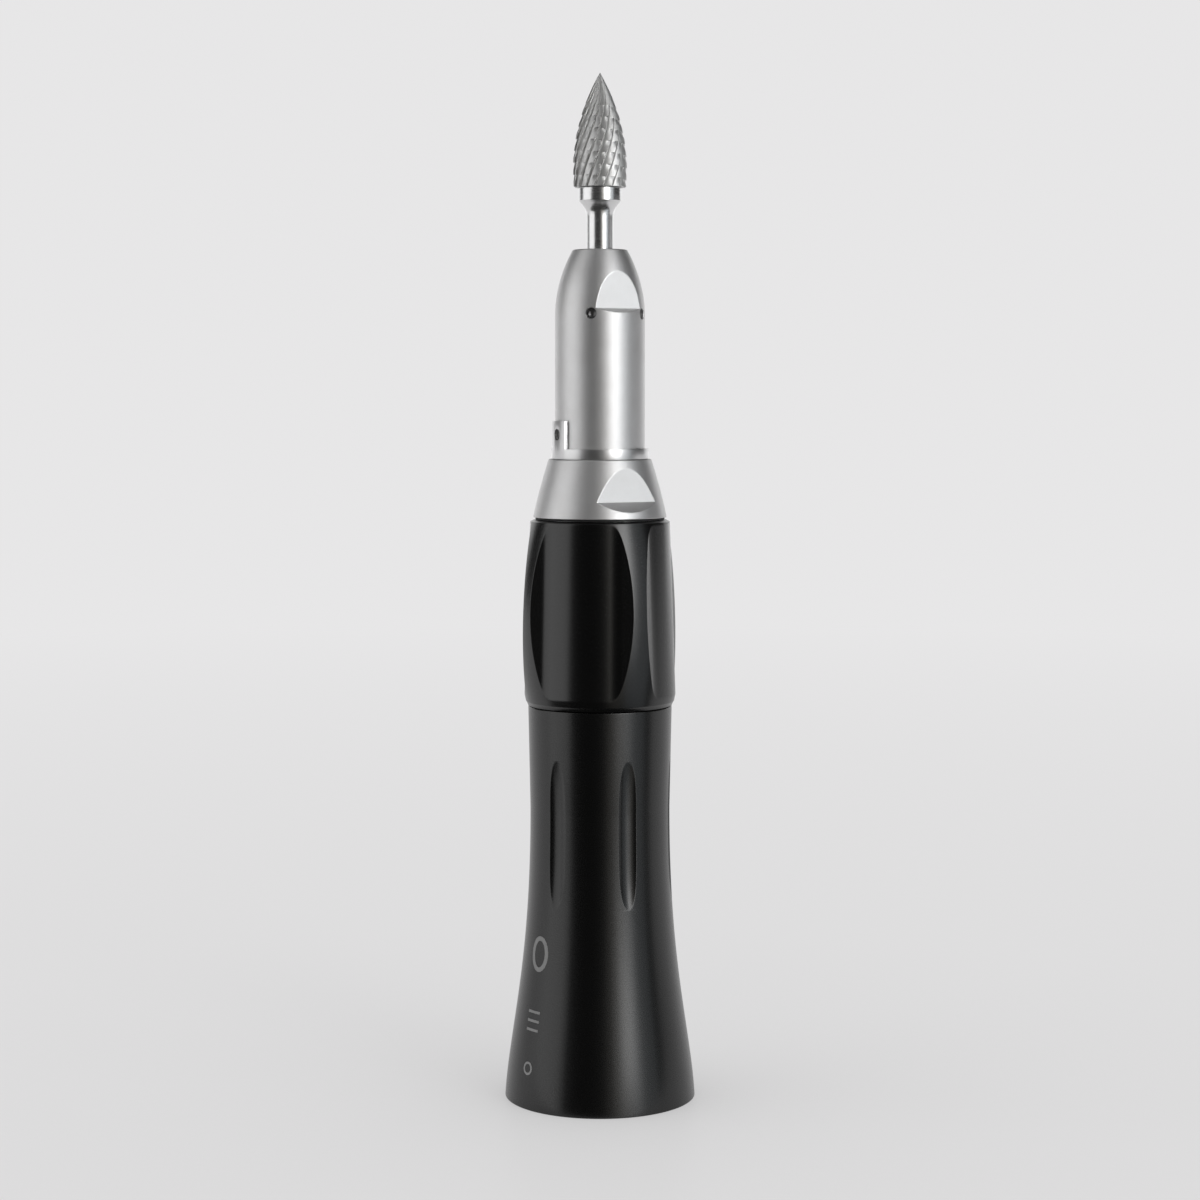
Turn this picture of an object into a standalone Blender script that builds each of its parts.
"""Straight dental handpiece with a twist-to-open chuck ring, holding a pointed-tree bur.

The part's long axis is +Z. The origin is the centre of the flat rear rim, and the bur points up.
Lengths below are in millimetres and azimuths in degrees, counted from -Y towards +X. Everything is
turned into metres when the meshes are made.
"""
import math

import bmesh
import bpy
from mathutils import Euler, Matrix, Vector

MM = 0.001

# Facets round a turned piece, by how large the piece is
SHELL_STEPS = 40
SHAFT_STEPS = 28
RING_STEPS = 20

# Overall heights
TIP_Z = 116.0
NOSE_TOP_Z = 96.34
CONE_TOP_Z = 72.92
CONE_BOTTOM_Z = 66.36
RING_TOP_Z = 66.1
RING_BOTTOM_Z = 45.1
SLEEVE_TOP_Z = 45.0

# Bur
SHANK_R = 1.5
COLLAR_R = 2.415
COLLAR_TOP_Z = 103.25
COLLAR_BOTTOM_Z = 101.79
SHANK_BOTTOM_Z = 71.5
HEAD_BASE_Z = 103.3
HEAD_R = 3.03
HEAD_BASE_R = 2.95
HEAD_CURVE_LENGTH = 10.8
HEAD_CURVE_POWER = 2.05
HEAD_FLUTES = 18
HEAD_FLUTE_DEPTH = 0.34
HEAD_TWIST_PER_MM = 7.8

# Rotor
SPINDLE_R = 2.5
SPINDLE_BORE_R = 2.12
SPINDLE_BOTTOM_Z = 40.0
SPINDLE_TOP_Z = 94.9
SPRING_SHOULDER_Z = 68.4
COLLET_BOTTOM_Z = 69.5
COLLET_TOP_Z = 94.2
DRAWBAR_BOTTOM_Z = 50.6
NUT_BOTTOM_Z = 58.0
NUT_TOP_Z = 59.3
CROSS_PIN_Z = 54.0
CROSS_PIN_R = 0.42
CROSS_PIN_HALF_LENGTH = 3.4
DOG_PIN_Z = 43.0

# Bearings: radii shared by all three, and the height of each one's lower face
INNER_RACE_R = (2.54, 2.68)
OUTER_RACE_R = (3.44, 3.62)
BALL_PITCH_R = 3.06
BALL_R = 0.34
BALL_COUNT = 7
BEARING_HEIGHT = 2.2
FRONT_BEARING_1_Z = 90.3
FRONT_BEARING_2_Z = 84.3
REAR_BEARING_Z = 46.2

# Nose
NOSE_R = 5.066
NOSE_BOTTOM_Z = 66.6
NOSE_FLAT_DISTANCE = 4.19
NOSE_FLAT_BOTTOM_Z = 89.72
BEARING_SEAT_R = 3.66
NOSE_PIN_Z = 89.15
NOSE_PIN_HOLE_R = 0.61
NOSE_PIN_OFFSET_DEG = 40.0
FLAT_AZIMUTHS = (0.0, 180.0)

# Band with the upright tab
BAND_R = (5.12, 5.5)
BAND_TOP_Z = 74.1
TAB_TOP_Z = 77.22
TAB_HALF_WIDTH = 1.49
TAB_HOLE_Z = 75.7
TAB_HOLE_R = 0.635

# Housing: the cone in front, and the tube that runs under the grip ring
CONE_FLAT_DISTANCE = 6.09
CONE_FLAT_BOTTOM_Z = 68.25
TUBE_R = (5.75, 6.6)
TUBE_BOTTOM_Z = 38.5

# Grip ring
GRIP_BORE_R = 6.65
GRIP_WIDEST_R = 9.4
GRIP_WIDEST_Z = 54.6
GRIP_BARREL_CURVE = 0.0119
GRIP_MID_Z = 55.6
GRIP_FLAT_TOP_DISTANCE = 6.857
GRIP_CORE_TOP_R = 7.91
GRIP_TAPER = 0.034

# Chuck cam: twisting the ring through CAM_TURN_DEG lifts the cam sleeve by CAM_LIFT
CAM_TURN_DEG = 35.0
CAM_LIFT = 0.9
CAM_PIN_Z = 57.0
CAM_PIN_R = 0.5
CAM_PIN_SPAN = (4.9, 7.0)
CAM_AZIMUTHS = (0.0, 180.0)
CAM_GROOVE_R = (6.4, 7.12)
CAM_GROOVE_HALF_HEIGHT = 0.62

# Motor socket and rear sleeve
SOCKET_BORE_R = 4.75
SOCKET_R = 5.7
WAIST_R = 7.93
WAIST_Z = 33.4
FLUTE_COUNT = 6
FLUTE_FIRST_AZIMUTH = -5.5
FLUTE_MID_Z = 31.1
FLUTE_HALF_LENGTH = 8.3
FLUTE_CUTTER_R = 2.3
FLUTE_FLOOR_R = 7.66
FLUTE_BULGE = 0.48
FLUTE_LEAN_DEG = 0.65

PARTS = None
CUTTERS = None


# ---------------------------------------------------------------- scene and materials

def clear_scene():
    for obj in list(bpy.data.objects):
        bpy.data.objects.remove(obj, do_unlink=True)


def make_collection(name):
    collection = bpy.data.collections.new(name)
    bpy.context.scene.collection.children.link(collection)
    return collection


def make_material(name, colour, metallic, roughness):
    mat = bpy.data.materials.new(name)
    mat.use_nodes = True
    shader = mat.node_tree.nodes["Principled BSDF"]
    shader.inputs["Base Color"].default_value = (*colour, 1.0)
    shader.inputs["Metallic"].default_value = metallic
    shader.inputs["Roughness"].default_value = roughness
    mat.diffuse_color = (*colour, 1.0)
    return mat


def make_materials():
    return {
        "satin_steel": make_material("satin_steel", (0.62, 0.61, 0.61), 1.0, 0.38),
        "polished_steel": make_material("polished_steel", (0.72, 0.71, 0.70), 1.0, 0.15),
        "black_anodised": make_material("black_anodised", (0.02, 0.02, 0.021), 0.4, 0.42),
        "carbide": make_material("carbide", (0.33, 0.33, 0.34), 1.0, 0.4),
        "bearing_steel": make_material("bearing_steel", (0.55, 0.56, 0.58), 1.0, 0.2),
        "spring_steel": make_material("spring_steel", (0.42, 0.42, 0.44), 1.0, 0.3),
        "brass": make_material("brass", (0.72, 0.53, 0.24), 1.0, 0.3),
        "cage_resin": make_material("cage_resin", (0.36, 0.22, 0.1), 0.0, 0.5),
        "black_rubber": make_material("black_rubber", (0.02, 0.02, 0.02), 0.0, 0.7),
        "seal_polymer": make_material("seal_polymer", (0.75, 0.74, 0.7), 0.0, 0.5),
    }


# ---------------------------------------------------------------- shape helpers

def outward(azimuth):
    """Unit vector away from the axis at an azimuth."""
    turn = math.radians(azimuth)
    return Vector((math.sin(turn), -math.cos(turn), 0.0))


def add_object(name, data, mat=None):
    obj = bpy.data.objects.new(name, data)
    if mat is None:
        CUTTERS.objects.link(obj)
        obj.hide_render = True
        obj.display_type = 'WIRE'
    else:
        PARTS.objects.link(obj)
        data.materials.append(mat)
    return obj


def finish_mesh(bm, name):
    mesh = bpy.data.meshes.new(name)
    bm.to_mesh(mesh)
    bm.free()
    return mesh


def turned(name, profile, steps, mat=None, hollow=True):
    """Turn (radius, height) points round Z. They run down the outer side, then back up a bore."""
    bm = bmesh.new()
    verts = [bm.verts.new((radius * MM, 0.0, height * MM)) for radius, height in profile]
    for start, end in zip(verts, verts[1:]):
        bm.edges.new((start, end))
    if hollow:
        bm.edges.new((verts[-1], verts[0]))
    obj = add_object(name, finish_mesh(bm, name), mat)
    screw = obj.modifiers.new("turn", 'SCREW')
    screw.axis = 'Z'
    screw.angle = math.tau
    screw.steps = steps
    screw.render_steps = steps
    screw.use_merge_vertices = True
    screw.merge_threshold = 1e-6
    return obj


def tube(name, radii, heights, steps, mat=None):
    """A plain ring with square edges."""
    inner, outer = radii
    bottom, top = heights
    profile = [(outer, top), (outer, bottom), (inner, bottom), (inner, top)]
    return turned(name, profile, steps, mat)


def rod(name, radius, start, end, segments, mat=None):
    """A round bar between two points."""
    start, end = Vector(start) * MM, Vector(end) * MM
    bm = bmesh.new()
    bmesh.ops.create_cone(bm, cap_ends=True, segments=segments, radius1=radius * MM,
                          radius2=radius * MM, depth=(end - start).length)
    turn = (end - start).to_track_quat('Z', 'Y').to_matrix().to_4x4()
    bm.transform(Matrix.Translation((start + end) / 2) @ turn)
    return add_object(name, finish_mesh(bm, name), mat)


def radial_rod(name, radius, span, height, azimuth, segments, mat=None):
    direction = outward(azimuth)
    lift = Vector((0.0, 0.0, height))
    return rod(name, radius, direction * span[0] + lift, direction * span[1] + lift, segments, mat)


def box(name, low, high):
    """A cutter box between two corners."""
    bm = bmesh.new()
    bmesh.ops.create_cube(bm, size=1.0)
    low, high = Vector(low) * MM, Vector(high) * MM
    bm.transform(Matrix.Translation((low + high) / 2) @ Matrix.Diagonal((*(high - low), 1.0)))
    return add_object(name, finish_mesh(bm, name))


def radial_prism(name, outline, half_width, azimuth):
    """A cutter with a (distance, height) outline, extruded sideways at an azimuth."""
    bm = bmesh.new()
    near = [bm.verts.new((half_width * MM, -dist * MM, height * MM)) for dist, height in outline]
    face = bm.faces.new(near)
    swept = bmesh.ops.extrude_face_region(bm, geom=[face])
    moved = [item for item in swept["geom"] if isinstance(item, bmesh.types.BMVert)]
    bmesh.ops.translate(bm, verts=moved, vec=(-2.0 * half_width * MM, 0.0, 0.0))
    bmesh.ops.recalc_face_normals(bm, faces=bm.faces)
    bm.transform(Matrix.Rotation(math.radians(azimuth), 4, 'Z'))
    return add_object(name, finish_mesh(bm, name))


def boolean(target, tool, operation='DIFFERENCE'):
    modifier = target.modifiers.new(tool.name, 'BOOLEAN')
    modifier.operation = operation
    modifier.object = tool
    modifier.solver = 'EXACT'


def coil(name, radius, wire_r, heights, turns, mat):
    """A compression spring as one long helix of wire."""
    points_per_turn = 8
    count = int(turns * points_per_turn) + 1
    curve = bpy.data.curves.new(name, 'CURVE')
    curve.dimensions = '3D'
    curve.bevel_depth = wire_r * MM
    curve.bevel_resolution = 2
    curve.use_fill_caps = True
    spline = curve.splines.new('POLY')
    spline.points.add(count - 1)
    low, high = heights[0] + wire_r, heights[1] - wire_r
    for index, point in enumerate(spline.points):
        share = index / (count - 1)
        turn = math.tau * turns * share
        height = low + (high - low) * share
        point.co = (radius * math.cos(turn) * MM, radius * math.sin(turn) * MM, height * MM, 1.0)
    return add_object(name, curve, mat)


def seal_ring(name, radius, wire_r, height, steps, mat):
    """A rubber ring of round section."""
    sides = 6
    profile = []
    for index in range(sides):
        turn = -math.tau * index / sides + math.pi / sides
        profile.append((radius + wire_r * math.cos(turn), height + wire_r * math.sin(turn)))
    return turned(name, profile, steps, mat)


# ---------------------------------------------------------------- bur

def head_radius(height):
    """Envelope of the pointed-tree head: it curves in to the tip, and narrows slightly to its base."""
    below_tip = TIP_Z - height
    if below_tip > HEAD_CURVE_LENGTH:
        share = (below_tip - HEAD_CURVE_LENGTH) / (TIP_Z - HEAD_BASE_Z - HEAD_CURVE_LENGTH)
        return HEAD_R + (HEAD_BASE_R - HEAD_R) * share
    return HEAD_R * (1.0 - (1.0 - below_tip / HEAD_CURVE_LENGTH) ** HEAD_CURVE_POWER)


def make_bur(mats):
    fillet = [(2.1, 101.45), (1.75, 101.0), (1.56, 100.56), (SHANK_R, 100.1)]
    shank = [(0.0, COLLAR_TOP_Z), (COLLAR_R - 0.1, COLLAR_TOP_Z), (COLLAR_R, COLLAR_TOP_Z - 0.1),
             (COLLAR_R, COLLAR_BOTTOM_Z), *fillet, (SHANK_R, SHANK_BOTTOM_Z + 0.2),
             (SHANK_R - 0.2, SHANK_BOTTOM_Z), (0.0, SHANK_BOTTOM_Z)]
    turned("bur_shank", shank, RING_STEPS, mats["polished_steel"], hollow=False)

    bm = bmesh.new()
    sections = 11
    tooth = (0.0, 0.6, 1.0)
    around = HEAD_FLUTES * len(tooth)
    rings = []
    for level in range(sections):
        height = HEAD_BASE_Z + (TIP_Z - HEAD_BASE_Z) * level / sections
        envelope = head_radius(height)
        depth = HEAD_FLUTE_DEPTH * min(1.0, envelope / 2.0)
        ring = []
        for step in range(around):
            turn = math.tau * step / around + math.radians(HEAD_TWIST_PER_MM * (height - HEAD_BASE_Z))
            radius = envelope - depth * tooth[step % len(tooth)]
            ring.append(bm.verts.new((radius * math.cos(turn) * MM, radius * math.sin(turn) * MM,
                                      height * MM)))
        rings.append(ring)
    for lower, upper in zip(rings, rings[1:]):
        for step in range(around):
            after = (step + 1) % around
            bm.faces.new((lower[step], lower[after], upper[after], upper[step]))
    bm.faces.new(list(reversed(rings[0])))
    tip = bm.verts.new((0.0, 0.0, TIP_Z * MM))
    for step in range(around):
        bm.faces.new((rings[-1][step], rings[-1][(step + 1) % around], tip))
    add_object("bur_head", finish_mesh(bm, "bur_head"), mats["carbide"])


# ---------------------------------------------------------------- rotor

def make_spindle(mats):
    flange_r, flange_bottom, mouth_r, cone_bottom = 2.75, 92.8, 2.48, 91.5
    guide_r = 1.7
    spindle = turned("spindle", [
        (flange_r, SPINDLE_TOP_Z), (flange_r, flange_bottom), (SPINDLE_R, flange_bottom),
        (SPINDLE_R, SPINDLE_BOTTOM_Z), (SPINDLE_BORE_R, SPINDLE_BOTTOM_Z),
        (SPINDLE_BORE_R, SPRING_SHOULDER_Z), (guide_r, SPRING_SHOULDER_Z),
        (guide_r, SPRING_SHOULDER_Z + 0.9), (SPINDLE_BORE_R, SPRING_SHOULDER_Z + 0.9),
        (SPINDLE_BORE_R, cone_bottom), (mouth_r, SPINDLE_TOP_Z)], SHAFT_STEPS, mats["bearing_steel"])
    boolean(spindle, box("cross_pin_slot", (-3.0, -0.5, 53.4), (3.0, 0.5, 55.4)))
    boolean(spindle, box("dog_pin_slot", (-3.0, -0.42, 42.5), (3.0, 0.42, 44.7)))
    nut_r = 2.9
    tube("spindle_nut", (2.56, nut_r), (45.0, 46.1), RING_STEPS, mats["bearing_steel"])
    tube("spring_seat", (0.9, 2.05), (49.7, 50.1), RING_STEPS, mats["bearing_steel"])


def make_collet(mats):
    outer_r, bore_r, cone_r = 2.05, 1.55, 2.33
    thread_r = 1.0
    collet = turned("collet", [
        (cone_r, COLLET_TOP_Z), (outer_r, 91.6), (outer_r, COLLET_BOTTOM_Z),
        (thread_r, COLLET_BOTTOM_Z), (thread_r, 71.2), (bore_r, 71.3), (bore_r, COLLET_TOP_Z)],
        SHAFT_STEPS, mats["spring_steel"])
    jaw_gap, slot_bottom = 0.35, 80.0
    for index in range(3):
        name = "collet_slot_%d" % (index + 1)
        outline = [(-0.3, COLLET_TOP_Z + 1.0), (-0.3, slot_bottom), (3.0, slot_bottom),
                   (3.0, COLLET_TOP_Z + 1.0)]
        boolean(collet, radial_prism(name, outline, jaw_gap / 2, 120.0 * index))

    neck_r, stem_r = 1.15, 1.5
    drawbar = turned("drawbar", [
        (0.0, 71.1), (thread_r - 0.05, 71.1), (thread_r - 0.05, 69.4), (stem_r, 69.4),
        (stem_r, NUT_TOP_Z + 0.05), (neck_r, NUT_TOP_Z + 0.05), (neck_r, DRAWBAR_BOTTOM_Z),
        (0.0, DRAWBAR_BOTTOM_Z)], RING_STEPS, mats["bearing_steel"], hollow=False)
    boolean(drawbar, rod("cross_pin_bore", CROSS_PIN_R + 0.05, (-2.0, 0.0, CROSS_PIN_Z),
                         (2.0, 0.0, CROSS_PIN_Z), 12))
    tube("drawbar_nut", (neck_r + 0.05, 2.06), (NUT_BOTTOM_Z, NUT_TOP_Z), RING_STEPS, mats["brass"])
    coil("collet_spring", 1.86, 0.17, (NUT_TOP_Z + 0.05, SPRING_SHOULDER_Z - 0.05), 6,
         mats["spring_steel"])
    rod("cross_pin", CROSS_PIN_R, (-CROSS_PIN_HALF_LENGTH, 0.0, CROSS_PIN_Z),
        (CROSS_PIN_HALF_LENGTH, 0.0, CROSS_PIN_Z), 12, mats["bearing_steel"])


def make_drive_dog(mats):
    claw_r, body_r, hole_r = 2.6, 2.05, 0.7
    claw_bottom, flange_bottom, flange_top, body_top = 34.5, 36.5, 38.6, 45.0
    dog = turned("drive_dog", [
        (body_r, body_top), (body_r, flange_top), (claw_r, flange_top), (claw_r, claw_bottom),
        (hole_r, claw_bottom), (hole_r, body_top)], RING_STEPS, mats["bearing_steel"])
    boolean(dog, box("claw_slot", (-0.75, -4.0, claw_bottom - 1.0), (0.75, 4.0, flange_bottom)))
    pin_r = 0.34
    boolean(dog, rod("dog_pin_bore", pin_r + 0.05, (-3.0, 0.0, DOG_PIN_Z), (3.0, 0.0, DOG_PIN_Z), 12))
    rod("dog_pin", pin_r, (-2.42, 0.0, DOG_PIN_Z), (2.42, 0.0, DOG_PIN_Z), 12, mats["bearing_steel"])
    coil("dog_spring", 1.6, 0.18, (body_top + 0.05, 49.65), 4, mats["spring_steel"])


# ---------------------------------------------------------------- bearings

def make_bearing(name, bottom, mats):
    """Inner race, outer race, and a cage with its balls, as three nodes."""
    top = bottom + BEARING_HEIGHT
    middle = bottom + BEARING_HEIGHT / 2
    tube(name + "_inner_race", INNER_RACE_R, (bottom, top), RING_STEPS, mats["bearing_steel"])
    tube(name + "_outer_race", OUTER_RACE_R, (bottom, top), RING_STEPS, mats["bearing_steel"])
    cage_half_height, cage_half_width = 0.5, 0.14
    cage = tube(name + "_cage", (BALL_PITCH_R - cage_half_width, BALL_PITCH_R + cage_half_width),
                (middle - cage_half_height, middle + cage_half_height), BALL_COUNT * 2, mats["cage_resin"])
    bm = bmesh.new()
    for index in range(BALL_COUNT):
        turn = math.tau * index / BALL_COUNT
        place = Vector((BALL_PITCH_R * math.cos(turn), BALL_PITCH_R * math.sin(turn), middle)) * MM
        bmesh.ops.create_uvsphere(bm, u_segments=6, v_segments=4, radius=BALL_R * MM,
                                  matrix=Matrix.Translation(place))
    boolean(cage, add_object(name + "_balls", finish_mesh(bm, name + "_balls")), 'UNION')


def make_front_spacers(mats):
    heights = (FRONT_BEARING_2_Z + BEARING_HEIGHT + 0.05, FRONT_BEARING_1_Z - 0.05)
    tube("inner_spacer", (INNER_RACE_R[0], 2.75), heights, RING_STEPS, mats["bearing_steel"])
    tube("outer_spacer", (3.25, OUTER_RACE_R[1]), heights, RING_STEPS, mats["bearing_steel"])
    tube("bearing_retainer", (2.95, 4.14), (82.0, 84.2), RING_STEPS, mats["brass"])
    tube("wave_washer", (3.15, 3.6), (92.56, 92.74), RING_STEPS, mats["spring_steel"])
    tube("dust_seal", (2.82, 2.98), (93.2, 94.3), RING_STEPS, mats["seal_polymer"])


# ---------------------------------------------------------------- nose, band and housing

def make_nose(mats):
    front_wall_z, seal_r, mouth_r = 95.2, 3.02, 1.9
    bearing_top, retainer_top, rear_bore_r = 92.8, 84.26, 4.2
    shoulder = [(4.09, 94.11), (4.66, 92.32), (4.97, 90.54), (NOSE_R, 88.6)]
    nose = turned("nose_sleeve", [
        (3.1, NOSE_TOP_Z), (3.62, 95.22), *shoulder, (NOSE_R, NOSE_BOTTOM_Z),
        (rear_bore_r, NOSE_BOTTOM_Z), (rear_bore_r, retainer_top), (BEARING_SEAT_R, retainer_top),
        (BEARING_SEAT_R, bearing_top), (seal_r, bearing_top), (seal_r, front_wall_z),
        (mouth_r, front_wall_z), (mouth_r, NOSE_TOP_Z)], SHELL_STEPS, mats["satin_steel"])
    outline = [(NOSE_FLAT_DISTANCE, NOSE_TOP_Z + 1.0), (NOSE_FLAT_DISTANCE, NOSE_FLAT_BOTTOM_Z),
               (5.8, 88.79), (5.8, NOSE_TOP_Z + 1.0)]
    number = 0
    for flat in FLAT_AZIMUTHS:
        boolean(nose, radial_prism("nose_flat_%d" % flat, outline, 5.0, flat))
        for side in (-1, 1):
            number += 1
            azimuth = flat + side * NOSE_PIN_OFFSET_DEG
            hole = radial_rod("nose_pin_hole_%d" % number, NOSE_PIN_HOLE_R, (3.0, 6.0), NOSE_PIN_Z,
                              azimuth, 12)
            boolean(nose, hole)
            radial_rod("nose_pin_%d" % number, NOSE_PIN_HOLE_R - 0.06, (3.75, 4.8), NOSE_PIN_Z,
                       azimuth, 12, mats["polished_steel"])


def make_lock_ring(mats):
    ring = tube("lock_ring", BAND_R, (CONE_TOP_Z + 0.05, TAB_TOP_Z), SHELL_STEPS, mats["satin_steel"])
    reach = 6.0
    above = TAB_TOP_Z + 1.0
    clearing = {
        "tab_side_front": ((-reach, -reach, BAND_TOP_Z), (reach, -TAB_HALF_WIDTH, above)),
        "tab_side_back": ((-reach, TAB_HALF_WIDTH, BAND_TOP_Z), (reach, reach, above)),
        "tab_far_side": ((0.0, -reach, BAND_TOP_Z), (reach, reach, above)),
    }
    for name, (low, high) in clearing.items():
        boolean(ring, box(name, low, high))
    boolean(ring, radial_rod("tab_hole", TAB_HOLE_R, (4.0, 7.0), TAB_HOLE_Z, 270.0, 16))


def make_housing(mats):
    cone = [(5.8, CONE_TOP_Z), (6.19, 71.67), (6.71, 69.86), (7.18, 68.06), (7.56, CONE_BOTTOM_Z)]
    outer, inner = TUBE_R[1], TUBE_R[0]
    groove_r = 6.15
    front_groove, rear_groove = (64.6, 65.2), (47.4, 48.0)
    grooves = []
    for bottom, top in (front_groove, rear_groove):
        grooves += [(outer, top), (groove_r, top), (groove_r, bottom), (outer, bottom)]
    housing = turned("front_housing", [
        *cone, (outer, CONE_BOTTOM_Z), *grooves, (outer, TUBE_BOTTOM_Z), (inner, TUBE_BOTTOM_Z),
        (inner, 65.5), (BAND_R[0], 65.5), (BAND_R[0], CONE_TOP_Z)], SHELL_STEPS, mats["satin_steel"])
    outline = [(CONE_FLAT_DISTANCE, CONE_TOP_Z + 1.0), (CONE_FLAT_DISTANCE, CONE_FLAT_BOTTOM_Z),
               (8.2, 66.41), (8.2, CONE_TOP_Z + 1.0)]
    for flat in FLAT_AZIMUTHS:
        boolean(housing, radial_prism("cone_flat_%d" % flat, outline, 7.0, flat))
    slot_half_width = CAM_PIN_R + 0.08
    slot = [(5.0, CAM_PIN_Z + CAM_LIFT + slot_half_width), (5.0, CAM_PIN_Z - slot_half_width),
            (7.5, CAM_PIN_Z - slot_half_width), (7.5, CAM_PIN_Z + CAM_LIFT + slot_half_width)]
    for azimuth in CAM_AZIMUTHS:
        boolean(housing, radial_prism("cam_slot_%d" % azimuth, slot, slot_half_width, azimuth))
    seal_ring("ring_o_ring_front", 6.4, 0.19, 64.9, SHAFT_STEPS, mats["black_rubber"])
    seal_ring("ring_o_ring_rear", 6.4, 0.19, 47.7, SHAFT_STEPS, mats["black_rubber"])
    tube("nose_o_ring", (4.4, 5.0), (65.7, 66.5), RING_STEPS, mats["black_rubber"])
    tube("friction_washer", (6.68, 7.3), (RING_TOP_Z + 0.06, CONE_BOTTOM_Z - 0.06), SHELL_STEPS,
         mats["black_rubber"])


# ---------------------------------------------------------------- grip ring and cam

def barrel_radius(height):
    return GRIP_WIDEST_R - GRIP_BARREL_CURVE * (height - GRIP_WIDEST_Z) ** 2


def grip_limits():
    """A tapered square bar, its flats at 45 degrees to X and Y, and a conical core that bulges out."""
    top, bottom = RING_TOP_Z + 1.0, RING_BOTTOM_Z - 1.0
    widening = [GRIP_TAPER * (RING_TOP_Z - height) for height in (top, bottom)]
    core = turned("grip_core", [
        (0.0, top), (GRIP_CORE_TOP_R + widening[0], top), (GRIP_CORE_TOP_R + widening[1], bottom),
        (0.0, bottom)], SHELL_STEPS, hollow=False)
    corners = [math.sqrt(2.0) * (GRIP_FLAT_TOP_DISTANCE + wider) for wider in widening]
    bm = bmesh.new()
    bmesh.ops.create_cone(bm, cap_ends=True, segments=4, radius1=corners[1] * MM, radius2=corners[0] * MM,
                          depth=(top - bottom) * MM)
    bar = add_object("grip_flats", finish_mesh(bm, "grip_flats"))
    bar.location = (0.0, 0.0, (top + bottom) / 2.0 * MM)
    boolean(bar, core, 'UNION')
    return bar


def helical_groove(name, azimuth):
    """A cutter for one cam groove: it climbs by the lift while it goes back round the ring."""
    steps = 8
    end_margin_deg = math.degrees((CAM_PIN_R + 0.12) / CAM_PIN_SPAN[1])
    bm = bmesh.new()
    sections = []
    for index in range(steps + 1):
        swept = -end_margin_deg + (CAM_TURN_DEG + 2 * end_margin_deg) * index / steps
        share = min(1.0, max(0.0, swept / CAM_TURN_DEG))
        middle = CAM_PIN_Z + CAM_LIFT * share
        direction = outward(azimuth - swept)
        section = []
        for radius, side in ((CAM_GROOVE_R[0], -1), (CAM_GROOVE_R[1], -1),
                             (CAM_GROOVE_R[1], 1), (CAM_GROOVE_R[0], 1)):
            height = middle + side * CAM_GROOVE_HALF_HEIGHT
            section.append(bm.verts.new((direction * radius + Vector((0, 0, height))) * MM))
        sections.append(section)
    for first, second in zip(sections, sections[1:]):
        for corner in range(4):
            after = (corner + 1) % 4
            bm.faces.new((first[corner], first[after], second[after], second[corner]))
    bm.faces.new(sections[0])
    bm.faces.new(sections[-1])
    bmesh.ops.recalc_face_normals(bm, faces=bm.faces)
    return add_object(name, finish_mesh(bm, name))


def make_grip_ring(mats):
    levels = 6
    shoulder_top, shoulder_bottom = 65.9, 45.64
    barrel = []
    for index in range(levels):
        height = shoulder_top + (shoulder_bottom - shoulder_top) * index / (levels - 1)
        barrel.append((barrel_radius(height), height))
    ring = turned("grip_ring", [
        (7.5, RING_TOP_Z), *barrel, (8.2, RING_BOTTOM_Z), (GRIP_BORE_R, RING_BOTTOM_Z),
        (GRIP_BORE_R, RING_TOP_Z)], SHELL_STEPS, mats["black_anodised"])
    boolean(ring, grip_limits(), 'INTERSECT')
    for index, azimuth in enumerate(CAM_AZIMUTHS):
        boolean(ring, helical_groove("cam_groove_%d" % (index + 1), azimuth))


def make_cam(mats):
    outer_r, inner_r, flange_r = 5.68, 4.85, 2.9
    flange = (52.3, 53.3)
    sleeve = turned("cam_sleeve", [
        (outer_r, 60.0), (outer_r, 51.0), (inner_r, 51.0), (inner_r, flange[0]),
        (flange_r, flange[0]), (flange_r, flange[1]), (inner_r, flange[1]), (inner_r, 60.0)],
        SHAFT_STEPS, mats["brass"])
    for index, azimuth in enumerate(CAM_AZIMUTHS):
        hole = radial_rod("cam_pin_hole_%d" % (index + 1), CAM_PIN_R + 0.04, (4.0, 6.5), CAM_PIN_Z,
                          azimuth, 12)
        boolean(sleeve, hole)
        radial_rod("cam_pin_%d" % (index + 1), CAM_PIN_R, CAM_PIN_SPAN, CAM_PIN_Z, azimuth, 12,
                   mats["bearing_steel"])


# ---------------------------------------------------------------- motor socket and rear sleeve

def make_socket(mats):
    flange_r, flange = 9.2, (0.9, 2.7)
    latch_r, latch = 5.05, (20.0, 21.4)
    lip_r, seat_bottom, seat_top, bore_top = 3.3, 45.95, 49.9, 44.9
    turned("coupling_socket", [
        (SOCKET_R, seat_top), (SOCKET_R, flange[1]), (flange_r, flange[1]), (flange_r, flange[0]),
        (SOCKET_BORE_R + 0.4, flange[0]), (SOCKET_BORE_R, flange[0] + 0.5),
        (SOCKET_BORE_R, latch[0]), (latch_r, latch[0]), (latch_r, latch[1]),
        (SOCKET_BORE_R, latch[1]), (SOCKET_BORE_R, bore_top), (lip_r, bore_top),
        (lip_r, seat_bottom), (BEARING_SEAT_R, seat_bottom), (BEARING_SEAT_R, seat_top)],
        SHAFT_STEPS, mats["satin_steel"])
    circlip = tube("rear_circlip", (3.15, 3.62), (48.6, 49.2), RING_STEPS, mats["spring_steel"])
    boolean(circlip, box("circlip_gap", (0.0, -0.5, 48.0), (5.0, 0.5, 50.0)))
    seal_ring("socket_o_ring", 6.18, 0.4, 33.0, SHAFT_STEPS, mats["black_rubber"])


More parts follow.
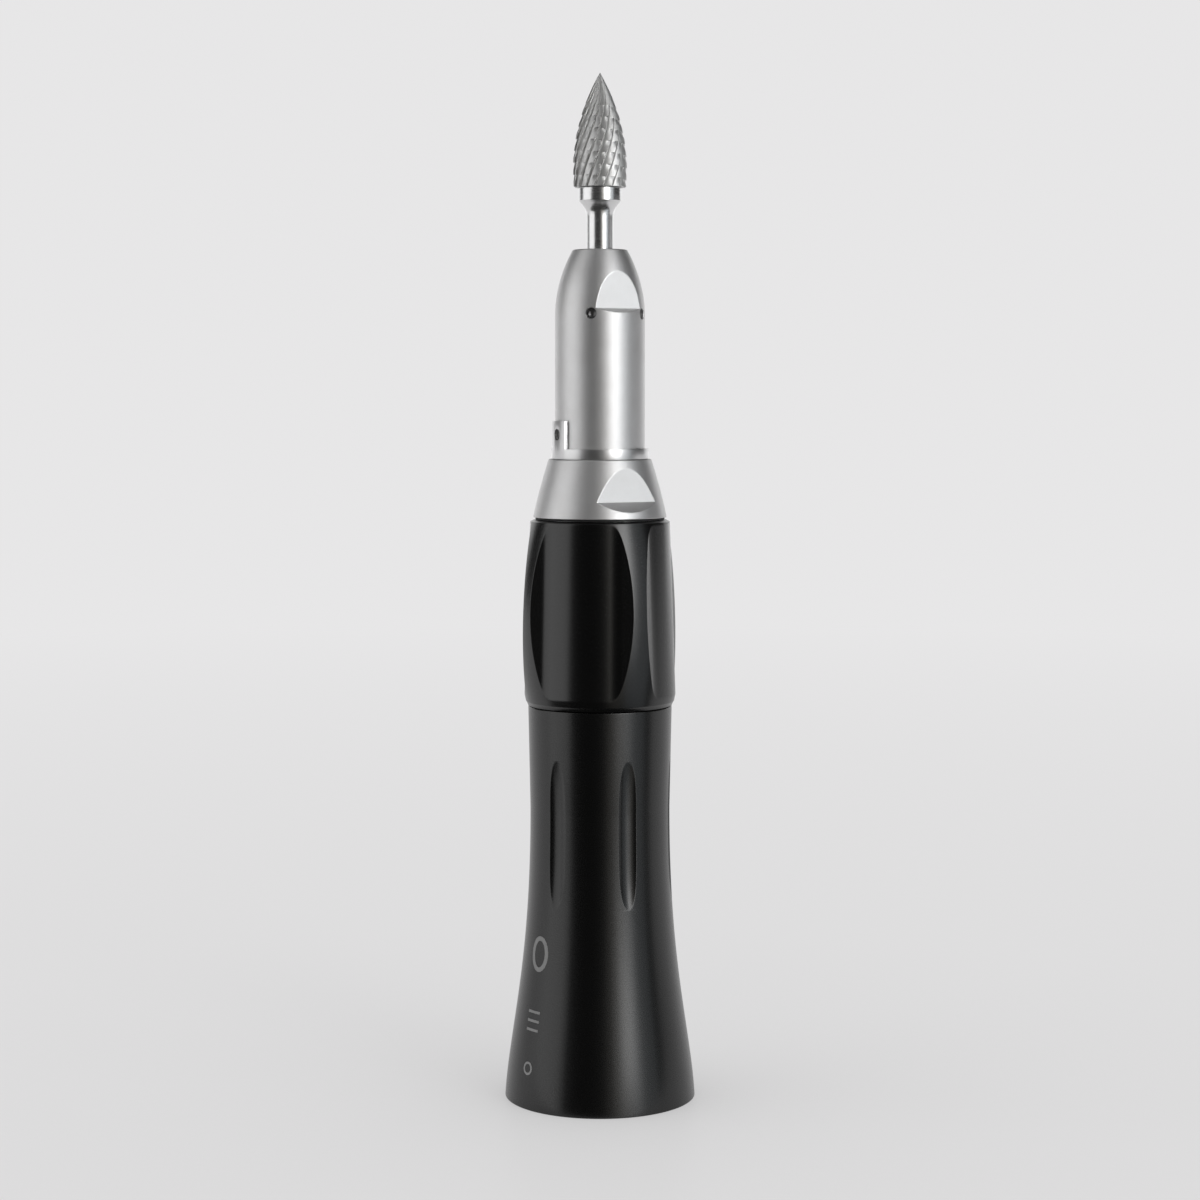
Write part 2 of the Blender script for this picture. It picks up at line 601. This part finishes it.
def sleeve_radius(height):
    """Outer radius of the rear sleeve: nearly straight, waisted, then flaring to the rim."""
    if height >= WAIST_Z:
        return WAIST_R + 0.0195 * (height - WAIST_Z)
    down = (WAIST_Z - height) / WAIST_Z
    return WAIST_R + 2.836 * down ** 2 + 2.264 * down ** 4 - 2.146 * down ** 6


def make_rear_sleeve(mats):
    heights = (45.0, 39.0, 33.4, 29.0, 25.0, 21.0, 17.0, 13.0, 9.0, 5.0, 1.7)
    outer = [(sleeve_radius(height), height) for height in heights]
    rim = [(10.84, 0.6), (10.86, 0.1), (10.78, 0.0), (9.7, 0.0)]
    bore_r = GRIP_BORE_R
    bore = [(9.3, 0.8), (9.3, 3.2), (7.35, 17.0), (bore_r, 25.0), (bore_r, SLEEVE_TOP_Z)]
    sleeve = turned("rear_sleeve", [*outer, *rim, *bore], SHELL_STEPS, mats["black_anodised"])
    half = FLUTE_HALF_LENGTH + 1.5
    levels = 6
    lens = []
    for index in range(levels + 1):
        height = half - 2 * half * index / levels
        radius = FLUTE_CUTTER_R - FLUTE_BULGE * (height / FLUTE_HALF_LENGTH) ** 2
        lens.append((radius, height))
    lens = [(0.0, half), *lens, (0.0, -half)]
    centre_r = FLUTE_FLOOR_R + FLUTE_CUTTER_R
    for index in range(FLUTE_COUNT):
        azimuth = FLUTE_FIRST_AZIMUTH + 360.0 / FLUTE_COUNT * index
        cutter = turned("flute_%d" % (index + 1), lens, 12, hollow=False)
        cutter.location = (outward(azimuth) * centre_r + Vector((0.0, 0.0, FLUTE_MID_Z))) * MM
        cutter.rotation_euler = Euler((math.radians(-FLUTE_LEAN_DEG), 0.0, math.radians(azimuth)))
        boolean(sleeve, cutter)


# ---------------------------------------------------------------- assembly

def add_pivot(name, height):
    """An empty on the long axis, which the pieces of one moving body hang from."""
    pivot = bpy.data.objects.new(name, None)
    pivot.empty_display_size = 0.004
    pivot.location = (0.0, 0.0, height * MM)
    PARTS.objects.link(pivot)
    return pivot


def hang(pivot, names):
    for name in names:
        child = bpy.data.objects[name]
        child.parent = pivot
        child.matrix_parent_inverse = Matrix.Translation(-pivot.location)


def group_moving_pieces():
    spindle = add_pivot("spindle_axis", 70.0)
    hang(spindle, ["spindle", "spindle_nut", "spring_seat", "inner_spacer"])
    for bearing in ("front_bearing_1", "front_bearing_2", "rear_bearing"):
        hang(spindle, [bearing + "_inner_race"])
        cage = add_pivot(bearing + "_cage_axis", 70.0)
        hang(cage, [bearing + "_cage"])
    collet = add_pivot("collet_axis", CROSS_PIN_Z)
    hang(collet, ["collet", "drawbar", "drawbar_nut", "cross_pin", "collet_spring"])
    bur = add_pivot("bur_axis", SHANK_BOTTOM_Z)
    hang(bur, ["bur_shank", "bur_head"])
    ring = add_pivot("grip_ring_axis", GRIP_MID_Z)
    hang(ring, ["grip_ring"])
    cam = add_pivot("cam_axis", CAM_PIN_Z)
    hang(cam, ["cam_sleeve", "cam_pin_1", "cam_pin_2"])
    dog = add_pivot("dog_axis", DOG_PIN_Z)
    hang(dog, ["drive_dog", "dog_pin", "dog_spring"])


def shade_round_pieces():
    for obj in PARTS.objects:
        if obj.type == 'MESH':
            obj.data.shade_smooth()
            obj.data.set_sharp_from_angle(angle=math.radians(35.0))


def build():
    global PARTS, CUTTERS
    clear_scene()
    PARTS = make_collection("straight_handpiece")
    CUTTERS = make_collection("cutters")
    mats = make_materials()
    make_bur(mats)
    make_spindle(mats)
    make_collet(mats)
    make_drive_dog(mats)
    make_bearing("front_bearing_1", FRONT_BEARING_1_Z, mats)
    make_bearing("front_bearing_2", FRONT_BEARING_2_Z, mats)
    make_bearing("rear_bearing", REAR_BEARING_Z, mats)
    make_front_spacers(mats)
    make_nose(mats)
    make_lock_ring(mats)
    make_housing(mats)
    make_grip_ring(mats)
    make_cam(mats)
    make_socket(mats)
    make_rear_sleeve(mats)
    group_moving_pieces()
    shade_round_pieces()


build()
